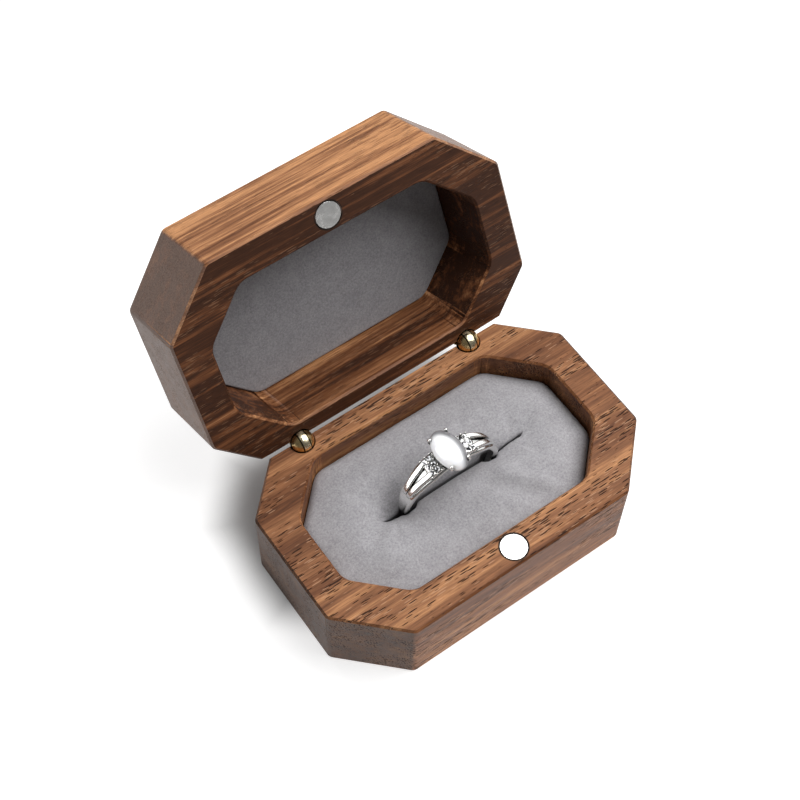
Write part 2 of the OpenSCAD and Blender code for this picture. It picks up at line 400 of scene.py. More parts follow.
def walnut(name, part, magnet, turn, shift, banding, contrast, depth, lift, ends, pores_show):
    """Oiled walnut with its grain along X. turn and shift place the wood of the part in its log.

    banding is the share of wide growth bands against narrow streaks, and contrast scales both. depth makes
    the wood darker, lift paints light on the side that looks up, and ends scales the end grain's colour,
    as painted shade on the base's end faces and painted light on the lid's.
    pores_show is how strongly the open pores and their painted highlights show. The thin dark ring round the
    magnet is painted shade of the gap round it.
    """
    wood = Finish(name)
    place = wood.millimetres(turn, shift)
    outside = outer_walls(wood, part, turn)
    streaks = wood.noise(wood.stretch(place, (0.03, 0.9, 0.9)), 1.0, detail=5, roughness=0.65)
    fibres = wood.noise(wood.stretch(place, (0.25, 5, 5)), 1.0, detail=3, roughness=0.6)
    pores, pore_highlight = open_pores(wood, place)

    # Painted light: the side that looks up gets paler by lift, less on the cavity's walls.
    facing_up = wood.remap(wood.facing(2), 0.6, 0.85)
    painted_top_light = wood.math("MULTIPLY", wood.remap(outside, 0.0, 1.0, 0.55, 1.0), facing_up)
    paler = wood.math("SUBTRACT", wood.math("MULTIPLY", painted_top_light, lift), depth)
    tone = growth_tone(wood, place, streaks, banding, contrast)
    colour = wood.ramp(wood.math("ADD", tone, paler), *WALNUT_STOPS)
    fibre_tone = wood.ramp(fibres, (0.3, (0.4, 0.37, 0.35)), (0.7, (1.45, 1.45, 1.45)))
    colour = wood.mix(0.62, colour, fibre_tone, "MULTIPLY")
    # Painted highlight beside each pore.
    colour = wood.mix(wood.math("MULTIPLY", pore_highlight, 0.5 * pores_show), colour, PORE_HIGHLIGHT)
    colour = wood.mix(wood.math("MULTIPLY", pores, 0.9 * pores_show), colour, PORE_DARK)
    # Painted shade of the gap round the magnet.
    colour = painted_gap_shade(wood, colour, magnet)

    across_grain = wood.remap(wood.math("ABSOLUTE", wood.facing(0)), 0.25, 0.8)
    end_grain = wood.math("MULTIPLY", outside, across_grain)
    # The end grain's colour is scaled by ends: painted shade on the base's end faces, painted light on the
    # lid's.
    end_colour = wood.ramp(fibres, (0.3, scaled(END_DARK, ends)), (0.7, scaled(END_PALE, ends)))
    wood.put("Base Color", wood.mix(wood.math("MULTIPLY", end_grain, 0.72), colour, end_colour))

    gloss = wood.remap(streaks, 0.3, 0.7, 0.42, 0.55)
    wood.put("Roughness", wood.math("ADD", gloss, wood.math("MULTIPLY", pores, 0.25)))
    wood.put("Specular IOR Level", 0.2)
    relief = wood.bump(fibres, 0.03, 0.5)
    wood.put("Normal", wood.bump(wood.math("SUBTRACT", 1.0, pores), 0.12, 0.9, relief))
    return wood.material


CUSHION_TOP = box_mm("cushion_suede")[1].z
DIP_SHADE_LOW = CUSHION_TOP - 1.2
DIP_SHADE_HIGH = CUSHION_TOP + 0.7
SUEDE_DARK = (0.49, 0.475, 0.5)
SUEDE_PALE = (0.84, 0.82, 0.85)


def suede(name, light):
    """Short-nap microsuede. light scales its colour. The suede gets painted shade in the cushion's dips and
    down the slit, darker the lower it lies.
    """
    cloth = Finish(name)
    place = cloth.millimetres()
    nap = cloth.noise(place, 0.32, detail=3, roughness=0.6, distortion=0.6)
    tufts = cloth.noise(place, 2.6, detail=5, roughness=0.75)
    hairs = cloth.noise(place, 9.0, detail=3, roughness=0.7)
    shade = cloth.math("ADD", cloth.math("MULTIPLY", nap, 0.2), cloth.math("MULTIPLY", tufts, 0.8))
    colour = cloth.ramp(shade, (0.36, scaled(SUEDE_DARK, light)), (0.64, scaled(SUEDE_PALE, light)))
    hair_tone = cloth.ramp(hairs, (0.3, (0.6, 0.6, 0.6)), (0.7, (1.35, 1.35, 1.35)))
    colour = cloth.mix(0.45, colour, hair_tone, "MULTIPLY")
    # Painted shade: darker the lower the suede lies below the cushion's top.
    painted_dip_shade = cloth.remap(cloth.axis(place, 2), DIP_SHADE_LOW, DIP_SHADE_HIGH, 0.5, 0.0)
    cloth.put("Base Color", cloth.mix(painted_dip_shade, colour, (0.0, 0.0, 0.0)))
    cloth.put("Roughness", 0.95)
    cloth.put("Specular IOR Level", 0.1)
    cloth.put("Sheen Weight", 0.35)
    cloth.put("Sheen Roughness", 0.55)
    cloth.put("Sheen Tint", (0.9, 0.9, 0.95))
    cloth.put("Normal", cloth.bump(hairs, 0.05, 0.5, cloth.bump(tufts, 0.12, 0.35)))
    return cloth.material


CREVICE_SHADE = (0.012, 0.011, 0.01)
# Painted highlight on each hinge knuckle's tongue, and painted shade in its two slots, JOINT_WIDTH wide.
KNUCKLE_HIGHLIGHT = (0.98, 0.92, 0.7)
KNUCKLE_SLOT_SHADE = (0.01, 0.008, 0.005)
JOINT_WIDTH = 0.18


def painted_crevice_shade(made, colour, reach):
    """Painted shade: darkens what lies within reach, in millimetres, of other surfaces."""
    open_air = made.node("AmbientOcclusion", samples=12)
    open_air.inputs["Distance"].default_value = reach * MM
    crevice = made.remap(open_air.outputs["AO"], 0.42, 0.85, 1.0, 0.0)
    return made.mix(crevice, colour, CREVICE_SHADE)


def knuckle_highlight_and_slot_shade(made, place, colour, hinge_x):
    """Paints a highlight on the tongue in the middle of each knuckle, and painted shade in the two slots
    beside it.
    """
    across = made.math("ABSOLUTE", made.axis(place, 0))
    from_middle = made.math("ABSOLUTE", made.math("SUBTRACT", across, hinge_x))
    tongue = made.remap(from_middle, TONGUE_HALF_X - 0.06, TONGUE_HALF_X, 0.6, 0.0)
    colour = made.mix(tongue, colour, KNUCKLE_HIGHLIGHT)
    joint_middle = TONGUE_HALF_X + JOINT_WIDTH / 2
    from_joint = made.math("ABSOLUTE", made.math("SUBTRACT", from_middle, joint_middle))
    joint = made.remap(from_joint, JOINT_WIDTH / 2, JOINT_WIDTH / 2 + 0.07, 0.95, 0.0)
    return made.mix(joint, colour, KNUCKLE_SLOT_SHADE)


def metal(name, base, tint, roughness, spread, crevice_shade=0.0, hinge_x=None):
    """Polished metal, a little uneven. spread is how far the roughness varies.

    Crevices within the given millimetres of other surfaces get painted shade. hinge_x is where a hinge's
    knuckle lies; its tongue gets a painted highlight and its two slots painted shade.
    """
    made = Finish(name)
    place = made.millimetres()
    cloud = made.noise(place, 0.9, detail=4, roughness=0.6)
    lines = made.noise(made.stretch(place, (3, 0.6, 9)), 1.0, detail=3)
    colour = made.ramp(cloud, (0.35, tint), (0.65, base))
    if crevice_shade > 0:
        colour = painted_crevice_shade(made, colour, crevice_shade)
    if hinge_x:
        colour = knuckle_highlight_and_slot_shade(made, place, colour, hinge_x)
    made.put("Base Color", colour)
    made.put("Metallic", 1.0)
    wear = made.math("ADD", cloud, made.math("MULTIPLY", lines, 0.5))
    made.put("Roughness", made.remap(wear, 0.5, 1.0, roughness, roughness + spread))
    made.put("Normal", made.bump(lines, 0.004, 0.4))
    return made.material


def card(name):
    """Dark grey card with short fibres."""
    board = Finish(name)
    place = board.millimetres()
    fibres = board.noise(place, 3.5, detail=5, roughness=0.7)
    board.put("Base Color", board.ramp(fibres, (0.3, (0.06, 0.055, 0.055)), (0.7, (0.16, 0.15, 0.15))))
    board.put("Roughness", 0.9)
    board.put("Normal", board.bump(fibres, 0.05, 0.4))
    return board.material


def milky_stone(name, glow):
    """Moonstone with a painted sheen: white about the point given in millimetres, and greyer beyond it as
    painted shade.
    """
    stone = Finish(name)
    place = stone.millimetres()
    cloud = stone.noise(place, 0.35, detail=3, distortion=0.8)
    white = stone.ramp(cloud, (0.35, (0.84, 0.85, 0.89)), (0.65, (0.96, 0.96, 0.97)))
    across_stone = (1 / STONE_HALF_X, 1 / STONE_HALF_Y, 0.1)
    from_painted_sheen = stone.length(stone.stretch(stone.shift(place, -glow), across_stone))
    # Painted sheen near the point, painted shade beyond it.
    clear = stone.remap(from_painted_sheen, 0.75, 1.15)
    stone.put("Base Color", stone.mix(clear, white, (0.2, 0.2, 0.21)))
    stone.put("Roughness", stone.remap(cloud, 0.3, 0.7, 0.05, 0.1))
    stone.put("Subsurface Weight", 0.6)
    stone.put("Subsurface Radius", (0.9, 0.95, 1.0))
    stone.put("Subsurface Scale", 0.6 * MM)
    stone.put("Coat Weight", 0.6)
    stone.put("Coat Roughness", 0.03)
    return stone.material


def clear_stone(name):
    """Colourless brilliants. Light and dark splinters over them are painted glints and painted dark
    reflections of their facets.
    """
    stone = Finish(name)
    splinters = stone.cells(stone.millimetres(), 3.2, "Color")
    # Painted glints and painted dark reflections.
    colour = stone.ramp(splinters, (0.47, (0.015, 0.015, 0.016)), (0.53, (0.97, 0.97, 1.0)))
    stone.put("Base Color", colour)
    stone.put("Roughness", 0.3)
    stone.put("Specular IOR Level", 0.2)
    return stone.material


def dress(piece, material):
    """Gives a piece one material all over."""
    piece.data.materials.clear()
    piece.data.materials.append(material)


# ---- mesh helpers ----

def new_piece(name, mesh, body, material, smooth=True):
    """Links a bmesh in millimetres as a piece that rides on a body."""
    bmesh.ops.scale(mesh, vec=(MM, MM, MM), verts=mesh.verts)
    bmesh.ops.recalc_face_normals(mesh, faces=mesh.faces)
    for face in mesh.faces:
        face.smooth = smooth
    data = bpy.data.meshes.new(name)
    mesh.to_mesh(data)
    mesh.free()
    piece = bpy.data.objects.new(name, data)
    bpy.context.scene.collection.objects.link(piece)
    dress(piece, material)
    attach(piece, body)
    return piece


def bridge(mesh, rows, closed=False):
    """Quads between neighbouring rows of vertices."""
    for low, high in zip(rows, rows[1:]):
        count = len(low)
        for i in range(count if closed else count - 1):
            j = (i + 1) % count
            corners = []
            for v in (low[i], low[j], high[j], high[i]):
                if v not in corners:
                    corners.append(v)
            if len(corners) > 2:
                mesh.faces.new(corners)


def soften_edges(name, width, segments=3, angle=25):
    """Rounds a CAD part's edges with modifiers, so that they catch the light."""
    part = nodes[name]
    weld = part.modifiers.new("weld", "WELD")
    weld.merge_threshold = 0.0005 * MM
    bevel = part.modifiers.new("bevel", "BEVEL")
    bevel.width = width * MM
    bevel.segments = segments
    bevel.limit_method = "ANGLE"
    bevel.angle_limit = math.radians(angle)
    bevel.harden_normals = False
    bevel.use_clamp_overlap = True


# ---- CAD parts that show as they are ----

def dress_cad_parts():
    # The lid gets painted light on the side that looks up (lift) and on its end grain (ends); the base gets
    # painted shade on its end grain (ends).
    base_wood = walnut(
        "walnut_base", "base_shell", "base_magnet", turn=0.0, shift=(40.0, 12.0, 3.0),
        banding=0.5, contrast=0.6, depth=0.0, lift=0.0, ends=0.3, pores_show=1.0,
    )
    lid_turn = math.radians(joint_value("lid_hinge", "range_deg")[1])
    lid_wood = walnut(
        "walnut_lid", "lid_shell", "lid_magnet", turn=lid_turn, shift=(-25.0, 55.0, 31.0),
        banding=0.5, contrast=1.05, depth=0.125, lift=0.21, ends=2.5, pores_show=0.3,
    )
    nickel = metal("nickel", (0.9, 0.89, 0.87), (0.8, 0.79, 0.77), roughness=0.16, spread=0.14)
    pin_low, pin_high = box_mm("right_hinge_pin")
    hinge_x = (pin_low.x + pin_high.x) / 2
    brass = metal(
        "brass", (0.83, 0.64, 0.33), (0.6, 0.43, 0.2),
        roughness=0.16, spread=0.2, crevice_shade=0.5, hinge_x=hinge_x,
    )
    board = card("card")
    dress(nodes["base_shell"], base_wood)
    dress(nodes["lid_shell"], lid_wood)
    for name in ("base_magnet", "lid_magnet"):
        dress(nodes[name], nickel)
        soften_edges(name, 0.2)
    for name in ("base_shell", "lid_shell"):
        soften_edges(name, 0.12, segments=2, angle=20)
    for side in ("left", "right"):
        for part in ("base_barrel", "lid_barrel", "hinge_pin"):
            dress(nodes[f"{side}_{part}"], brass)
    for name in ("cushion_card", "lid_card"):
        dress(nodes[name], board)


# ---- cushion ----

def rounded_octagon_inset(half_x, half_y, x, y):
    """How far a point lies inside the suede's outline with those half sizes."""
    inner_x, inner_y = half_x - SUEDE_RADIUS, half_y - SUEDE_RADIUS
    cut = SUEDE_CUT - SUEDE_RADIUS * (2 - math.sqrt(2))
    x, y = abs(x), abs(y)
    outline = ((inner_x, 0), (inner_x, inner_y - cut), (inner_x - cut, inner_y), (0, inner_y))
    corners = [Vector(corner) for corner in outline]
    point = Vector((x, y))
    nearest = 1e9
    for a, b in zip(corners, corners[1:]):
        along = max(0.0, min(1.0, (point - a).dot(b - a) / (b - a).length_squared))
        nearest = min(nearest, (point - a - along * (b - a)).length)
    inside = min(inner_x - x, inner_y - y, (inner_x + inner_y - cut - x - y) / math.sqrt(2))
    return SUEDE_RADIUS + (nearest if inside > 0 else -nearest)


def outline_depth(half_x, half_y, x):
    """Half depth of the same outline at x."""
    low, high = 0.0, half_y
    for _ in range(40):
        middle = (low + high) / 2
        if rounded_octagon_inset(half_x, half_y, x, middle) > 0:
            low = middle
        else:
            high = middle
    return low


ring_low, ring_high = box_mm("ring_band")
RING_RADIUS = (ring_high.x - ring_low.x) / 2
RING_CENTRE = Vector(((ring_low.x + ring_high.x) / 2, 0, ring_low.z + RING_RADIUS))

SLIT_LEFT = -15.2
SLIT_RIGHT = 17.2
TAPER_LEFT = 3.5
TAPER_RIGHT = 1.2
HOLE_X = SLIT_RIGHT - 0.6
HOLE_HALF_WIDTH = 0.2

# Half widths of the slit: right of the ring, under it, left of it, and round the band. Below the lips it is
# wider than the band by the room. Outside and inside the ring, it closes between these distances from it.
SLIT_CLOSED = 0.16
SLIT_UNDER_RING = 0.26
SLIT_GAPE = 0.45
SLIT_OPEN = 1.05
SLIT_ROOM = 0.1
OPEN_OUTSIDE = (0.4, 1.1)
OPEN_INSIDE = (1.7, 2.9)

# The rolled lips and edge, the crown, the groove along the slit, and the puckers round its ends.
LIP_RADIUS = 0.6
EDGE_RADIUS = 1.5
CROWN = 0.75
CROWN_REACH = (0.5, 9)
GROOVE_DEPTH = 0.4
GROOVE_WIDTH = 2.2
PUCKER = 0.16
PUCKER_WAVES = 9
PUCKER_RADIUS = 3.0
UNEVEN = 0.3
SIDE_LEVELS = (10.5, 7.0)

# The cloth simulation of the broad folds.
FOLD_FRAMES = 20
FOLD_LIMIT = 0.9
FOLD_STEP = 0.9
FOLD_SCALE = 0.1

# Each swelling is (height, x, y, width along X, width along Y). Dips are negative: where the band goes in at
# the left and at the right, and behind the ring.
SWELLINGS = (
    (-1.5, -RING_RADIUS - 0.4, 1.5, 3.4, 4.2),
    (-1.0, RING_RADIUS, 0.0, 2.6, 2.6),
    (0.3, 0.0, -2.0, 7.8, 2.4),
    (0.4, 0.5, 3.6, 6.0, 2.8),
    (-1.1, -8.0, 5.2, 3.8, 2.8),
)

# Each fold is (height, start, end, width). The second one is the furrow beside the first.
FOLDS = (
    (0.5, (6.0, -2.0), (17.0, -14.5), 1.5),
    (-0.35, (3.5, -3.5), (14.0, -15.0), 2.0),
    (0.3, (-12.0, -2.0), (-21.0, -9.0), 1.8),
)


def slit_opening(x):
    """Half width of the slit at the surface: open round the band and closed between its two sides."""
    if not SLIT_LEFT < x < SLIT_RIGHT:
        return 0.0
    ends = min(1.0, (x - SLIT_LEFT) / TAPER_LEFT) * smoothstep(0, TAPER_RIGHT, SLIT_RIGHT - x)
    beyond = abs(x) - (RING_RADIUS - BAND_THICKNESS / 2)
    limits = OPEN_OUTSIDE if beyond > 0 else OPEN_INSIDE
    open_share = 1 - smoothstep(*limits, abs(beyond))
    closed = SLIT_UNDER_RING if beyond < 0 else SLIT_GAPE if x < 0 else SLIT_CLOSED
    hole = HOLE_HALF_WIDTH * hump(x - HOLE_X, 0.4)
    return ends * (closed + (SLIT_OPEN - closed) * open_share) + hole


def rolled_edge(radius, distance):
    """How far a rounded edge drops at a distance from its outline."""
    rest = min(max(radius - distance, 0.0), radius)
    return radius - math.sqrt(radius ** 2 - rest ** 2)


def ridge(x, y, start, end, width):
    """A rounded ridge of height 1 along the line from start to end. It fades towards both ends."""
    along = Vector(end) - Vector(start)
    point = Vector((x, y)) - Vector(start)
    share = point.dot(along) / along.length_squared
    across = (point.x * along.y - point.y * along.x) / along.length
    return hump(across, width) * smoothstep(-0.1, 0.3, share) * smoothstep(-1.15, -0.6, -share)


def cushion_height(x, y, inset, from_lip):
    """Height of the suede above the flat cushion at a point inset from the wood and beside the slit."""
    height = CROWN * smoothstep(*CROWN_REACH, inset) - rolled_edge(EDGE_RADIUS, inset)
    if slit_opening(x) > 0:
        fade = smoothstep(0, SLIT_CLOSED, slit_opening(x))
        height -= fade * rolled_edge(LIP_RADIUS, from_lip)
    in_slit = smoothstep(SLIT_LEFT - 4, SLIT_LEFT + 3, x) * smoothstep(-SLIT_RIGHT - 4, -SLIT_RIGHT + 3, -x)
    height -= GROOVE_DEPTH * in_slit * hump(y, GROOVE_WIDTH)
    for swell, middle_x, middle_y, wide, deep in SWELLINGS:
        height += swell * hump(x - middle_x, wide) * hump(y - middle_y, deep)
    for swell, start, end, width in FOLDS:
        height += swell * ridge(x, y, start, end, width)
    for end, heading in ((SLIT_LEFT, -1), (SLIT_RIGHT, 1)):
        reach = (x - end) * heading
        spread = math.atan2(y, max(reach + PUCKER_RADIUS, 0.01))
        height += PUCKER * math.cos(spread * PUCKER_WAVES) * hump(math.hypot(y, reach) - PUCKER_RADIUS, 3.5)
    return height + UNEVEN * noise.noise(Vector((x * 0.12, y * 0.12, 3.7)))


def spaced(half_x, count):
    """Places along X from end to end, a little closer together at the ends."""
    return [half_x * math.sin(0.5 * math.pi * i / count) for i in range(-count, count + 1)]


def pad_grid(mesh, xs, half_x, half_y, rows, opening, height):
    """The top of a pad as two grids, front and rear, that meet on y = 0 where the opening is zero."""
    halves = {}
    for side in (-1, 1):
        grid = []
        for i, x in enumerate(xs):
            start, end = opening(x), outline_depth(half_x, half_y, x)
            column = []
            for k in range(rows + 1):
                t = k / rows
                from_lip = (end - start) * (0.5 * t + 0.25 * (1 - math.cos(math.pi * t)))
                y = side * (start + from_lip)
                inset = max(0.0, rounded_octagon_inset(half_x, half_y, x, y))
                column.append(mesh.verts.new((x, y, height(x, y, inset, from_lip))))
            if side > 0 and start == 0.0:
                mesh.verts.remove(column[0])
                column[0] = halves[-1][i][0]
            grid.append(column)
        bridge(mesh, grid)
        halves[side] = grid
    return halves


def close_pad(mesh, halves, levels):
    """Sides from the outer edge of the top down through the levels, and a flat underside."""
    front = [column[-1] for column in halves[-1]]
    rear = [column[-1] for column in halves[1]]
    right = halves[-1][-1][-2::-1] + halves[1][-1][1:-1]
    left = halves[1][0][-2::-1] + halves[-1][0][1:-1]
    loops = [front + right + rear[::-1] + left]
    for z in levels:
        loops.append([mesh.verts.new((v.co.x, v.co.y, z)) for v in loops[0]])
    bridge(mesh, loops, closed=True)
    mesh.faces.new(loops[-1])


def line_slit(mesh, xs, halves, floor, rows):
    """Walls that hang from both lips of the slit down to its floor, wide enough for the band."""
    inside = [i for i, x in enumerate(xs) if slit_opening(x) > 0.0]
    span = range(inside[0] - 1, inside[-1] + 2)
    walls = {}
    for side in (-1, 1):
        walls[side] = []
        for i in span:
            lip = halves[side][i][0]
            shut = i in (span[0], span[-1])
            room = smoothstep(0, 1.5, xs[i] - SLIT_LEFT) * smoothstep(0, 1.5, SLIT_RIGHT - xs[i])
            narrow = slit_opening(xs[i])
            wide = max(narrow, (SLIT_OPEN + SLIT_ROOM) * room)
            column = [lip]
            for k in range(1, rows + 1):
                if shut and side > 0:
                    column.append(walls[-1][i - span[0]][k])
                    continue
                t = (k / rows) ** 1.7
                y = 0.0 if shut else narrow + (wide - narrow) * smoothstep(0.0, 0.1, t)
                column.append(mesh.verts.new((xs[i], side * y, lip.co.z + (floor - lip.co.z) * t)))
            walls[side].append(column)
        bridge(mesh, walls[side])
    bridge(mesh, [[column[-1] for column in walls[side]] for side in (-1, 1)])


def simulated_folds(half_x, half_y):
    """Lift of the suede, in millimetres, from a cloth simulation, as a function of x and y.

    The sheet is a little too large for its opening, is pinned along the wood and at the slit, and is
    pushed up by the foam. It is simulated a hundred times larger than it is, which keeps the solver steady.
    """
    columns, rows = round(2 * half_x / FOLD_STEP), round(2 * half_y / FOLD_STEP)
    places = [
        (-half_x + FOLD_STEP * i, -half_y + FOLD_STEP * j)
        for j in range(rows + 1)
        for i in range(columns + 1)
    ]
    sheet = bmesh.new()
    verts = [sheet.verts.new((x * FOLD_SCALE, y * FOLD_SCALE, 0)) for x, y in places]
    pinned = []
    for k, (x, y) in enumerate(places):
        on_slit = SLIT_LEFT < x < SLIT_RIGHT and abs(y) < 0.6 * FOLD_STEP
        if on_slit or rounded_octagon_inset(half_x, half_y, x, y) < 0.8:
            pinned.append(k)
    wide = columns + 1
    bridge(sheet, [verts[j * wide:(j + 1) * wide] for j in range(rows + 1)])
    data = bpy.data.meshes.new("folds")
    sheet.to_mesh(data)
    sheet.free()
    cloth_piece = bpy.data.objects.new("folds", data)
    scene = bpy.context.scene
    scene.collection.objects.link(cloth_piece)
    cloth_piece.vertex_groups.new(name="pinned").add(pinned, 1.0, "REPLACE")
    cloth = cloth_piece.modifiers.new("cloth", "CLOTH")
    cloth.settings.vertex_group_mass = "pinned"
    cloth.settings.quality = 6
    cloth.settings.use_pressure = True
    cloth.settings.uniform_pressure_force = 4
    cloth.settings.shrink_min = -0.02
    cloth.settings.effector_weights.gravity = 0
    cloth.point_cache.frame_start = 1
    cloth.point_cache.frame_end = FOLD_FRAMES
    for frame_number in range(1, FOLD_FRAMES + 1):
        scene.frame_set(frame_number)
    draped = cloth_piece.evaluated_get(bpy.context.evaluated_depsgraph_get()).to_mesh()
    lifts = [v.co.z / FOLD_SCALE for v in draped.vertices]
    scene.frame_set(1)
    bpy.data.objects.remove(cloth_piece)
    bpy.data.meshes.remove(data)
    highest = max(abs(lift) for lift in lifts)
    scale = FOLD_LIMIT / max(highest, FOLD_LIMIT)

    def lift_at(x, y):
        across = min(max((x + half_x) / FOLD_STEP, 0.0), columns - 0.001)
        along = min(max((y + half_y) / FOLD_STEP, 0.0), rows - 0.001)
        i, j = int(across), int(along)
        u, v = across - i, along - j
        k = j * wide + i
        near = lifts[k] * (1 - u) + lifts[k + 1] * u
        far = lifts[k + wide] * (1 - u) + lifts[k + wide + 1] * u
        return scale * (near * (1 - v) + far * v)

    return lift_at


def build_cushion():
    """Foam cushion under grey suede: one crowned closed form with a slit for the ring."""
    top = box_mm("cushion_suede")[1]
    lift = simulated_folds(top.x, top.y)
    floor = box_mm("front_foam")[0].z
    xs = spaced(top.x, 84)

    def height(x, y, inset, from_lip):
        return top.z + cushion_height(x, y, inset, from_lip) + lift(x, y)

    mesh = bmesh.new()
    halves = pad_grid(mesh, xs, top.x, top.y, 40, slit_opening, height)
    line_slit(mesh, xs, halves, RING_CENTRE.z - RING_RADIUS - 0.2, 14)
    close_pad(mesh, halves, (*SIDE_LEVELS, floor))
    cushion = new_piece("cushion", mesh, "base", suede("suede_cushion", 0.57))
    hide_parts("cushion_suede", "front_foam", "rear_foam")


# ---- liner in the lid ----

def lid_opening():
    """The turn that takes a point of the closed lid to the open lid."""
    axis = Vector(joint_value("lid_hinge", "pos_m")) / MM
    turn = Matrix.Rotation(-math.radians(joint_value("lid_hinge", "range_deg")[1]), 4, "X")
    return Matrix.Translation(axis) @ turn @ Matrix.Translation(-axis)


def build_liner():
    """Suede panel at the bottom of the lid's cavity, stretched over its card."""
    opening = lid_opening()
    closing = opening.inverted()
    corners = [closing @ (v.co / MM) for v in nodes["lid_liner"].data.vertices]
    half_x, half_y = max(c.x for c in corners), max(c.y for c in corners)
    face, back = min(c.z for c in corners), max(c.z for c in corners)
    edge = 0.45

    def height(x, y, inset, from_middle):
        sag = 0.12 * smoothstep(0, 7, inset) + 0.05 * noise.noise(Vector((x * 0.15, y * 0.15, 8.1)))
        return face + rolled_edge(edge, inset) - sag

    mesh = bmesh.new()
    halves = pad_grid(mesh, spaced(half_x, 56), half_x, half_y, 26, lambda x: 0.0, height)
    close_pad(mesh, halves, (back,))
    bmesh.ops.transform(mesh, matrix=opening, verts=mesh.verts)
    # The liner is the cushion's suede with a lower light: painted shade in the lid's cavity.
    liner = new_piece("liner", mesh, "lid", suede("suede_liner", 0.42))
    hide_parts("lid_liner")


# ---- ring ----
# Drawn with its centre on the origin, its axis along Y and its head at +Z, then put in its place.
# Angles go round the ring in degrees: 0 is the head and 90 is +X.

RING_TURN = math.radians(-2.5)
SHOULDER_START = 62
SHOULDER_END = 22
ARM_START = SHOULDER_START + 3
PLATE_ANGLES = range(12, 29, 2)
STONE_HALF_X = 2.7
STONE_HALF_Y = 4.5
STONE_HEIGHT = 2.2
STONE_BACK = 0.9
STONE_PAINTED_SHEEN = (-1.3, -0.9)
SEAT = RING_RADIUS + 0.6
HEAD_THICKNESS = 1.1
HEAD_DROP = 0.4
HEAD_WIDTH = 4.7
SHOULDER_WIDTH = 3.4
BACK_WIDTH = 1.9
ARM_WIDTH = 1.2
ARM_THICKNESS = 1.15
ARM_Y = 0.5
ARM_SPREAD = 0.86
PLATE_WIDTH = 4.1
PLATE_THICKNESS = 0.95
SMALL_STONE_RADIUS = 0.5
SMALL_STONE_ANGLES = (18.6, 24.4)
SMALL_STONE_YS = (-1.3, 0.0, 1.3)
GRAIN_RADIUS = 0.2
GRAIN_ANGLES = (15.6, 21.5, 27.4)
GRAIN_YS = (-1.95, -0.65, 0.65, 1.95)
CLAW_ANGLES = (48, 132, 228, 312)
CLAW_WIDTH = 0.62
CLAW_THICKNESS = 0.5
BEAD_RADIUS = 0.36

# Each level of a small stone is (share of its radius, height, turn in eighths).
BRILLIANT = ((0.55, 0.26, 0.0), (0.86, 0.14, 0.5), (1.0, 0.02, 0.0), (1.0, -0.03, 0.0), (0.1, -0.42, 0.0))

# Each level of the cup, and each point of a claw, is (distance outside the stone's girdle, height above
# the seat).
CUP = (
    (-0.8, -1.2), (-0.5, -0.8), (-0.25, -0.45), (-0.06, -0.2),
    (0.0, -0.1), (-0.03, -0.02), (-0.12, 0.02), (-0.3, 0.0),
)
CLAW = ((-0.55, -1.0), (-0.15, -0.5), (0.2, -0.05), (0.3, 0.35), (0.22, 0.7), (0.0, 0.95))


def ring_place():
    """The turn and shift that put the ring in its slit."""
    return Matrix.Translation(RING_CENTRE) @ Matrix.Rotation(RING_TURN, 4, "Y")


def outward(degrees):
    """Unit vector away from the ring's axis."""
    angle = math.radians(degrees)
    return Vector((math.sin(angle), 0, math.cos(angle)))


def on_ring(degrees, radius, y=0.0):
    """A point at that angle and distance from the ring's axis."""
    return outward(degrees) * radius + Vector((0, y, 0))


def section(width, height, squareness, count):
    """Points round a rounded rectangle. A squareness of 2 makes an ellipse."""
    points = []
    for i in range(count):
        angle = 2 * math.pi * (i + 0.5) / count
        c, s = math.cos(angle), math.sin(angle)
        across = math.copysign(abs(c) ** (2 / squareness), c) * width / 2
        up = math.copysign(abs(s) ** (2 / squareness), s) * height / 2
        points.append((across, up))
    return points


def sweep(mesh, stations, squareness=2.0, count=20, closed=False):
    """A solid bar through stations of (centre, outward direction, width, height)."""
    centres = [station[0] for station in stations]
    last = len(stations) - 1
    rows = []
    for i, (centre, up, width, height) in enumerate(stations):
        behind = centres[i - 1] if closed else centres[max(i - 1, 0)]
        ahead = centres[(i + 1) % len(centres)] if closed else centres[min(i + 1, last)]
        across = (ahead - behind).cross(up).normalized()
        outline = section(width, height, squareness, count)
        rows.append([mesh.verts.new(centre + across * p + up * q) for p, q in outline])
    bridge(mesh, rows + rows[:1] if closed else rows, closed=True)
    if not closed:
        mesh.faces.new(rows[0])
        mesh.faces.new(rows[-1])


def ball(mesh, centre, radius, segments=16):
    made = bmesh.ops.create_uvsphere(mesh, u_segments=segments, v_segments=segments // 2, radius=radius)
    bmesh.ops.translate(mesh, verts=made["verts"], vec=centre)


def add_hoop(mesh):
    """The plain band, which gets wide and thin under the shoulders and the head."""
    stations = []
    for degrees in range(0, 360, 3):
        from_head = min(degrees, 360 - degrees)
        full = smoothstep(SHOULDER_START - 14, SHOULDER_START, from_head)
        thickness = HEAD_THICKNESS + (BAND_THICKNESS - HEAD_THICKNESS) * full
        width = HEAD_WIDTH
        width -= (HEAD_WIDTH - SHOULDER_WIDTH) * smoothstep(26, SHOULDER_START, from_head)
        width -= (SHOULDER_WIDTH - BACK_WIDTH) * smoothstep(SHOULDER_START, 100, from_head)
        middle = RING_RADIUS - HEAD_DROP * (1 - full) - thickness / 2
        stations.append((on_ring(degrees, middle), outward(degrees), width, thickness))
    sweep(mesh, stations, squareness=3.6, count=32, closed=True)


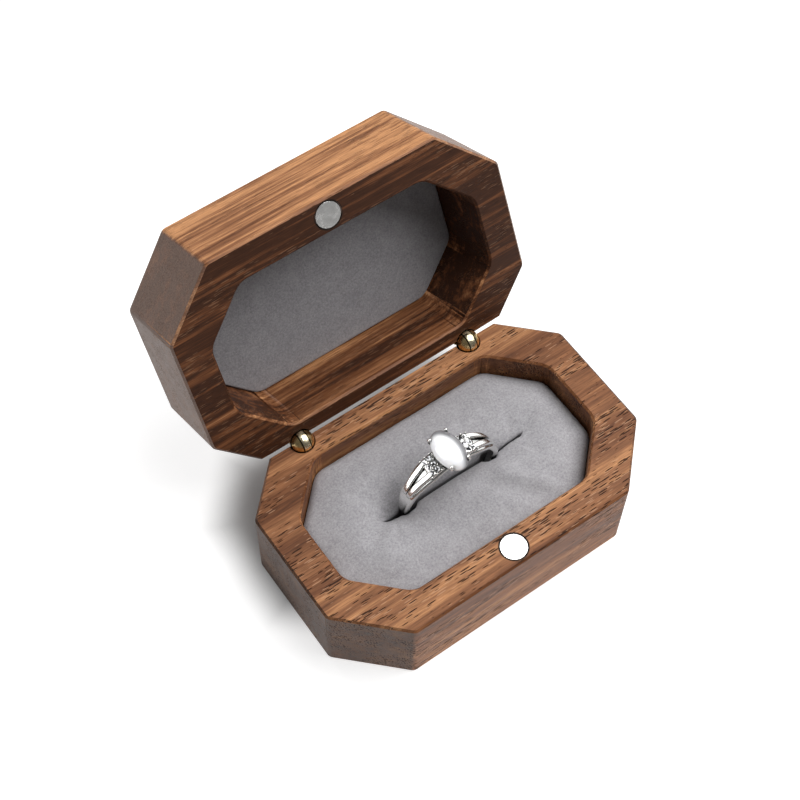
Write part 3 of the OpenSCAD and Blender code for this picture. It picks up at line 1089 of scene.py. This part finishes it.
def add_shoulder(mesh, side):
    """Two arms that part towards the head, and the plate that holds the small stones."""
    steps = 18
    for arm in (-1, 1):
        stations = []
        for i in range(steps + 1):
            t = i / steps
            tip = math.sqrt(1 - (1 - min(1.0, t / 0.14)) ** 2) * 0.94 + 0.06
            degrees = side * (ARM_START + (SHOULDER_END - ARM_START) * t)
            centre = on_ring(degrees, RING_RADIUS - 0.3, arm * (ARM_Y + ARM_SPREAD * t ** 1.15))
            stations.append((centre, outward(degrees), ARM_WIDTH * tip + 0.1 * t, ARM_THICKNESS * tip))
        sweep(mesh, stations, squareness=3.4, count=24)
    plate = []
    for degrees in PLATE_ANGLES:
        centre = on_ring(side * degrees, RING_RADIUS - 0.32)
        plate.append((centre, outward(side * degrees), PLATE_WIDTH, PLATE_THICKNESS))
    sweep(mesh, plate, squareness=5, count=32)


def small_stone_places(side):
    """Angle round the ring and Y of each small stone."""
    return [(side * degrees, y) for degrees in SMALL_STONE_ANGLES for y in SMALL_STONE_YS]


def add_grains(mesh, side):
    """Beads of silver that hold the small stones."""
    for degrees in GRAIN_ANGLES:
        for y in GRAIN_YS:
            ball(mesh, on_ring(side * degrees, RING_RADIUS + 0.2, y), GRAIN_RADIUS, segments=10)


def oval_row(mesh, half_x, half_y, height, count, shift=0.0):
    """Vertices round an ellipse at a height. shift moves them on by a share of their spacing."""
    row = []
    for i in range(count):
        angle = 2 * math.pi * (i + shift) / count
        row.append(mesh.verts.new((half_x * math.cos(angle), half_y * math.sin(angle), height)))
    return row


def close_rows(mesh, rows):
    """A solid from closed rows, with a flat face at each end."""
    bridge(mesh, rows, closed=True)
    mesh.faces.new(rows[0])
    mesh.faces.new(rows[-1])


def add_small_stone(mesh, place, up):
    """Round brilliant: table, crown, girdle and pavilion, with eight sides."""
    turn = up.to_track_quat("Z", "Y").to_matrix()
    rows = []
    for share, height, shift in BRILLIANT:
        radius = SMALL_STONE_RADIUS * share
        row = oval_row(mesh, radius, radius, height, 8, shift)
        for v in row:
            v.co = place + turn @ v.co
        rows.append(row)
    close_rows(mesh, rows)


def add_cup(mesh):
    """Oval cup under the main stone, wider at its rim."""
    close_rows(mesh, [
        oval_row(mesh, STONE_HALF_X + grow, STONE_HALF_Y + grow, SEAT + lift, 72)
        for grow, lift in CUP
    ])


def add_claw(mesh, degrees):
    """A wire up the outside of the cup that bends over the stone and ends in a bead."""
    a = math.radians(degrees)
    out = Vector((math.cos(a), math.sin(a), 0))
    stations = []
    for i, (grow, lift) in enumerate(CLAW):
        centre = Vector(((STONE_HALF_X + grow) * out.x, (STONE_HALF_Y + grow) * out.y, SEAT + lift))
        before, after = CLAW[max(i - 1, 0)], CLAW[min(i + 1, len(CLAW) - 1)]
        outwards = after[0] - before[0]
        slope = Vector((out.x * outwards, out.y * outwards, after[1] - before[1])).normalized()
        up = (out - slope * out.dot(slope)).normalized()
        stations.append((centre, up, CLAW_WIDTH, CLAW_THICKNESS))
    sweep(mesh, stations, count=14)
    ball(mesh, stations[-1][0], BEAD_RADIUS)


def add_cabochon(mesh):
    """Oval dome with a rounded girdle and a flat back."""
    rings = 24
    rows = []
    for i in range(rings):
        rise = math.radians(-14 + 104 * i / rings)
        share = math.cos(rise)
        lift = (STONE_HEIGHT if rise > 0 else STONE_BACK) * math.sin(rise)
        rows.append(oval_row(mesh, STONE_HALF_X * share, STONE_HALF_Y * share, SEAT + lift, 96))
    bridge(mesh, rows, closed=True)
    mesh.faces.new(rows[0])
    top = mesh.verts.new((0, 0, SEAT + STONE_HEIGHT))
    for a, b in zip(rows[-1], rows[-1][1:] + rows[-1][:1]):
        mesh.faces.new((a, b, top))


def add_ring_piece(name, mesh, material, node, smooth=True):
    """Puts a mesh of the ring in its place, as a piece that stands for a CAD part."""
    bmesh.ops.transform(mesh, matrix=ring_place(), verts=mesh.verts)
    piece = new_piece(name, mesh, "ring", material, smooth)
    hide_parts(node)
    return piece


def build_ring():
    # The silver gets painted shade in its crevices.
    silver = metal("silver", (0.92, 0.92, 0.9), (0.82, 0.82, 0.8), roughness=0.14, spread=0.08, crevice_shade=0.9)
    clear = clear_stone("clear_stone")

    band = bmesh.new()
    add_hoop(band)
    for side in (-1, 1):
        add_shoulder(band, side)
        add_grains(band, side)
    setting = bmesh.new()
    add_cup(setting)
    for degrees in CLAW_ANGLES:
        add_claw(setting, degrees)
    stone = bmesh.new()
    add_cabochon(stone)
    # Where the stone's painted sheen sits.
    glow = ring_place() @ Vector((*STONE_PAINTED_SHEEN, SEAT + STONE_HEIGHT / 2))
    milky = milky_stone("milky_stone", glow)

    pieces = [
        add_ring_piece("band", band, silver, "ring_band"),
        add_ring_piece("setting", setting, silver, "ring_setting"),
        add_ring_piece("stone", stone, milky, "ring_stone"),
    ]
    for side, word in ((-1, "left"), (1, "right")):
        mesh = bmesh.new()
        for degrees, y in small_stone_places(side):
            add_small_stone(mesh, on_ring(degrees, RING_RADIUS + 0.12, y), outward(degrees))
        node = f"{word}_accent_stones"
        pieces.append(add_ring_piece(f"{word}_stones", mesh, clear, node, smooth=False))
    return pieces


dress_cad_parts()
add_camera()
add_floor()
build_cushion()
build_liner()
add_lights(build_ring())
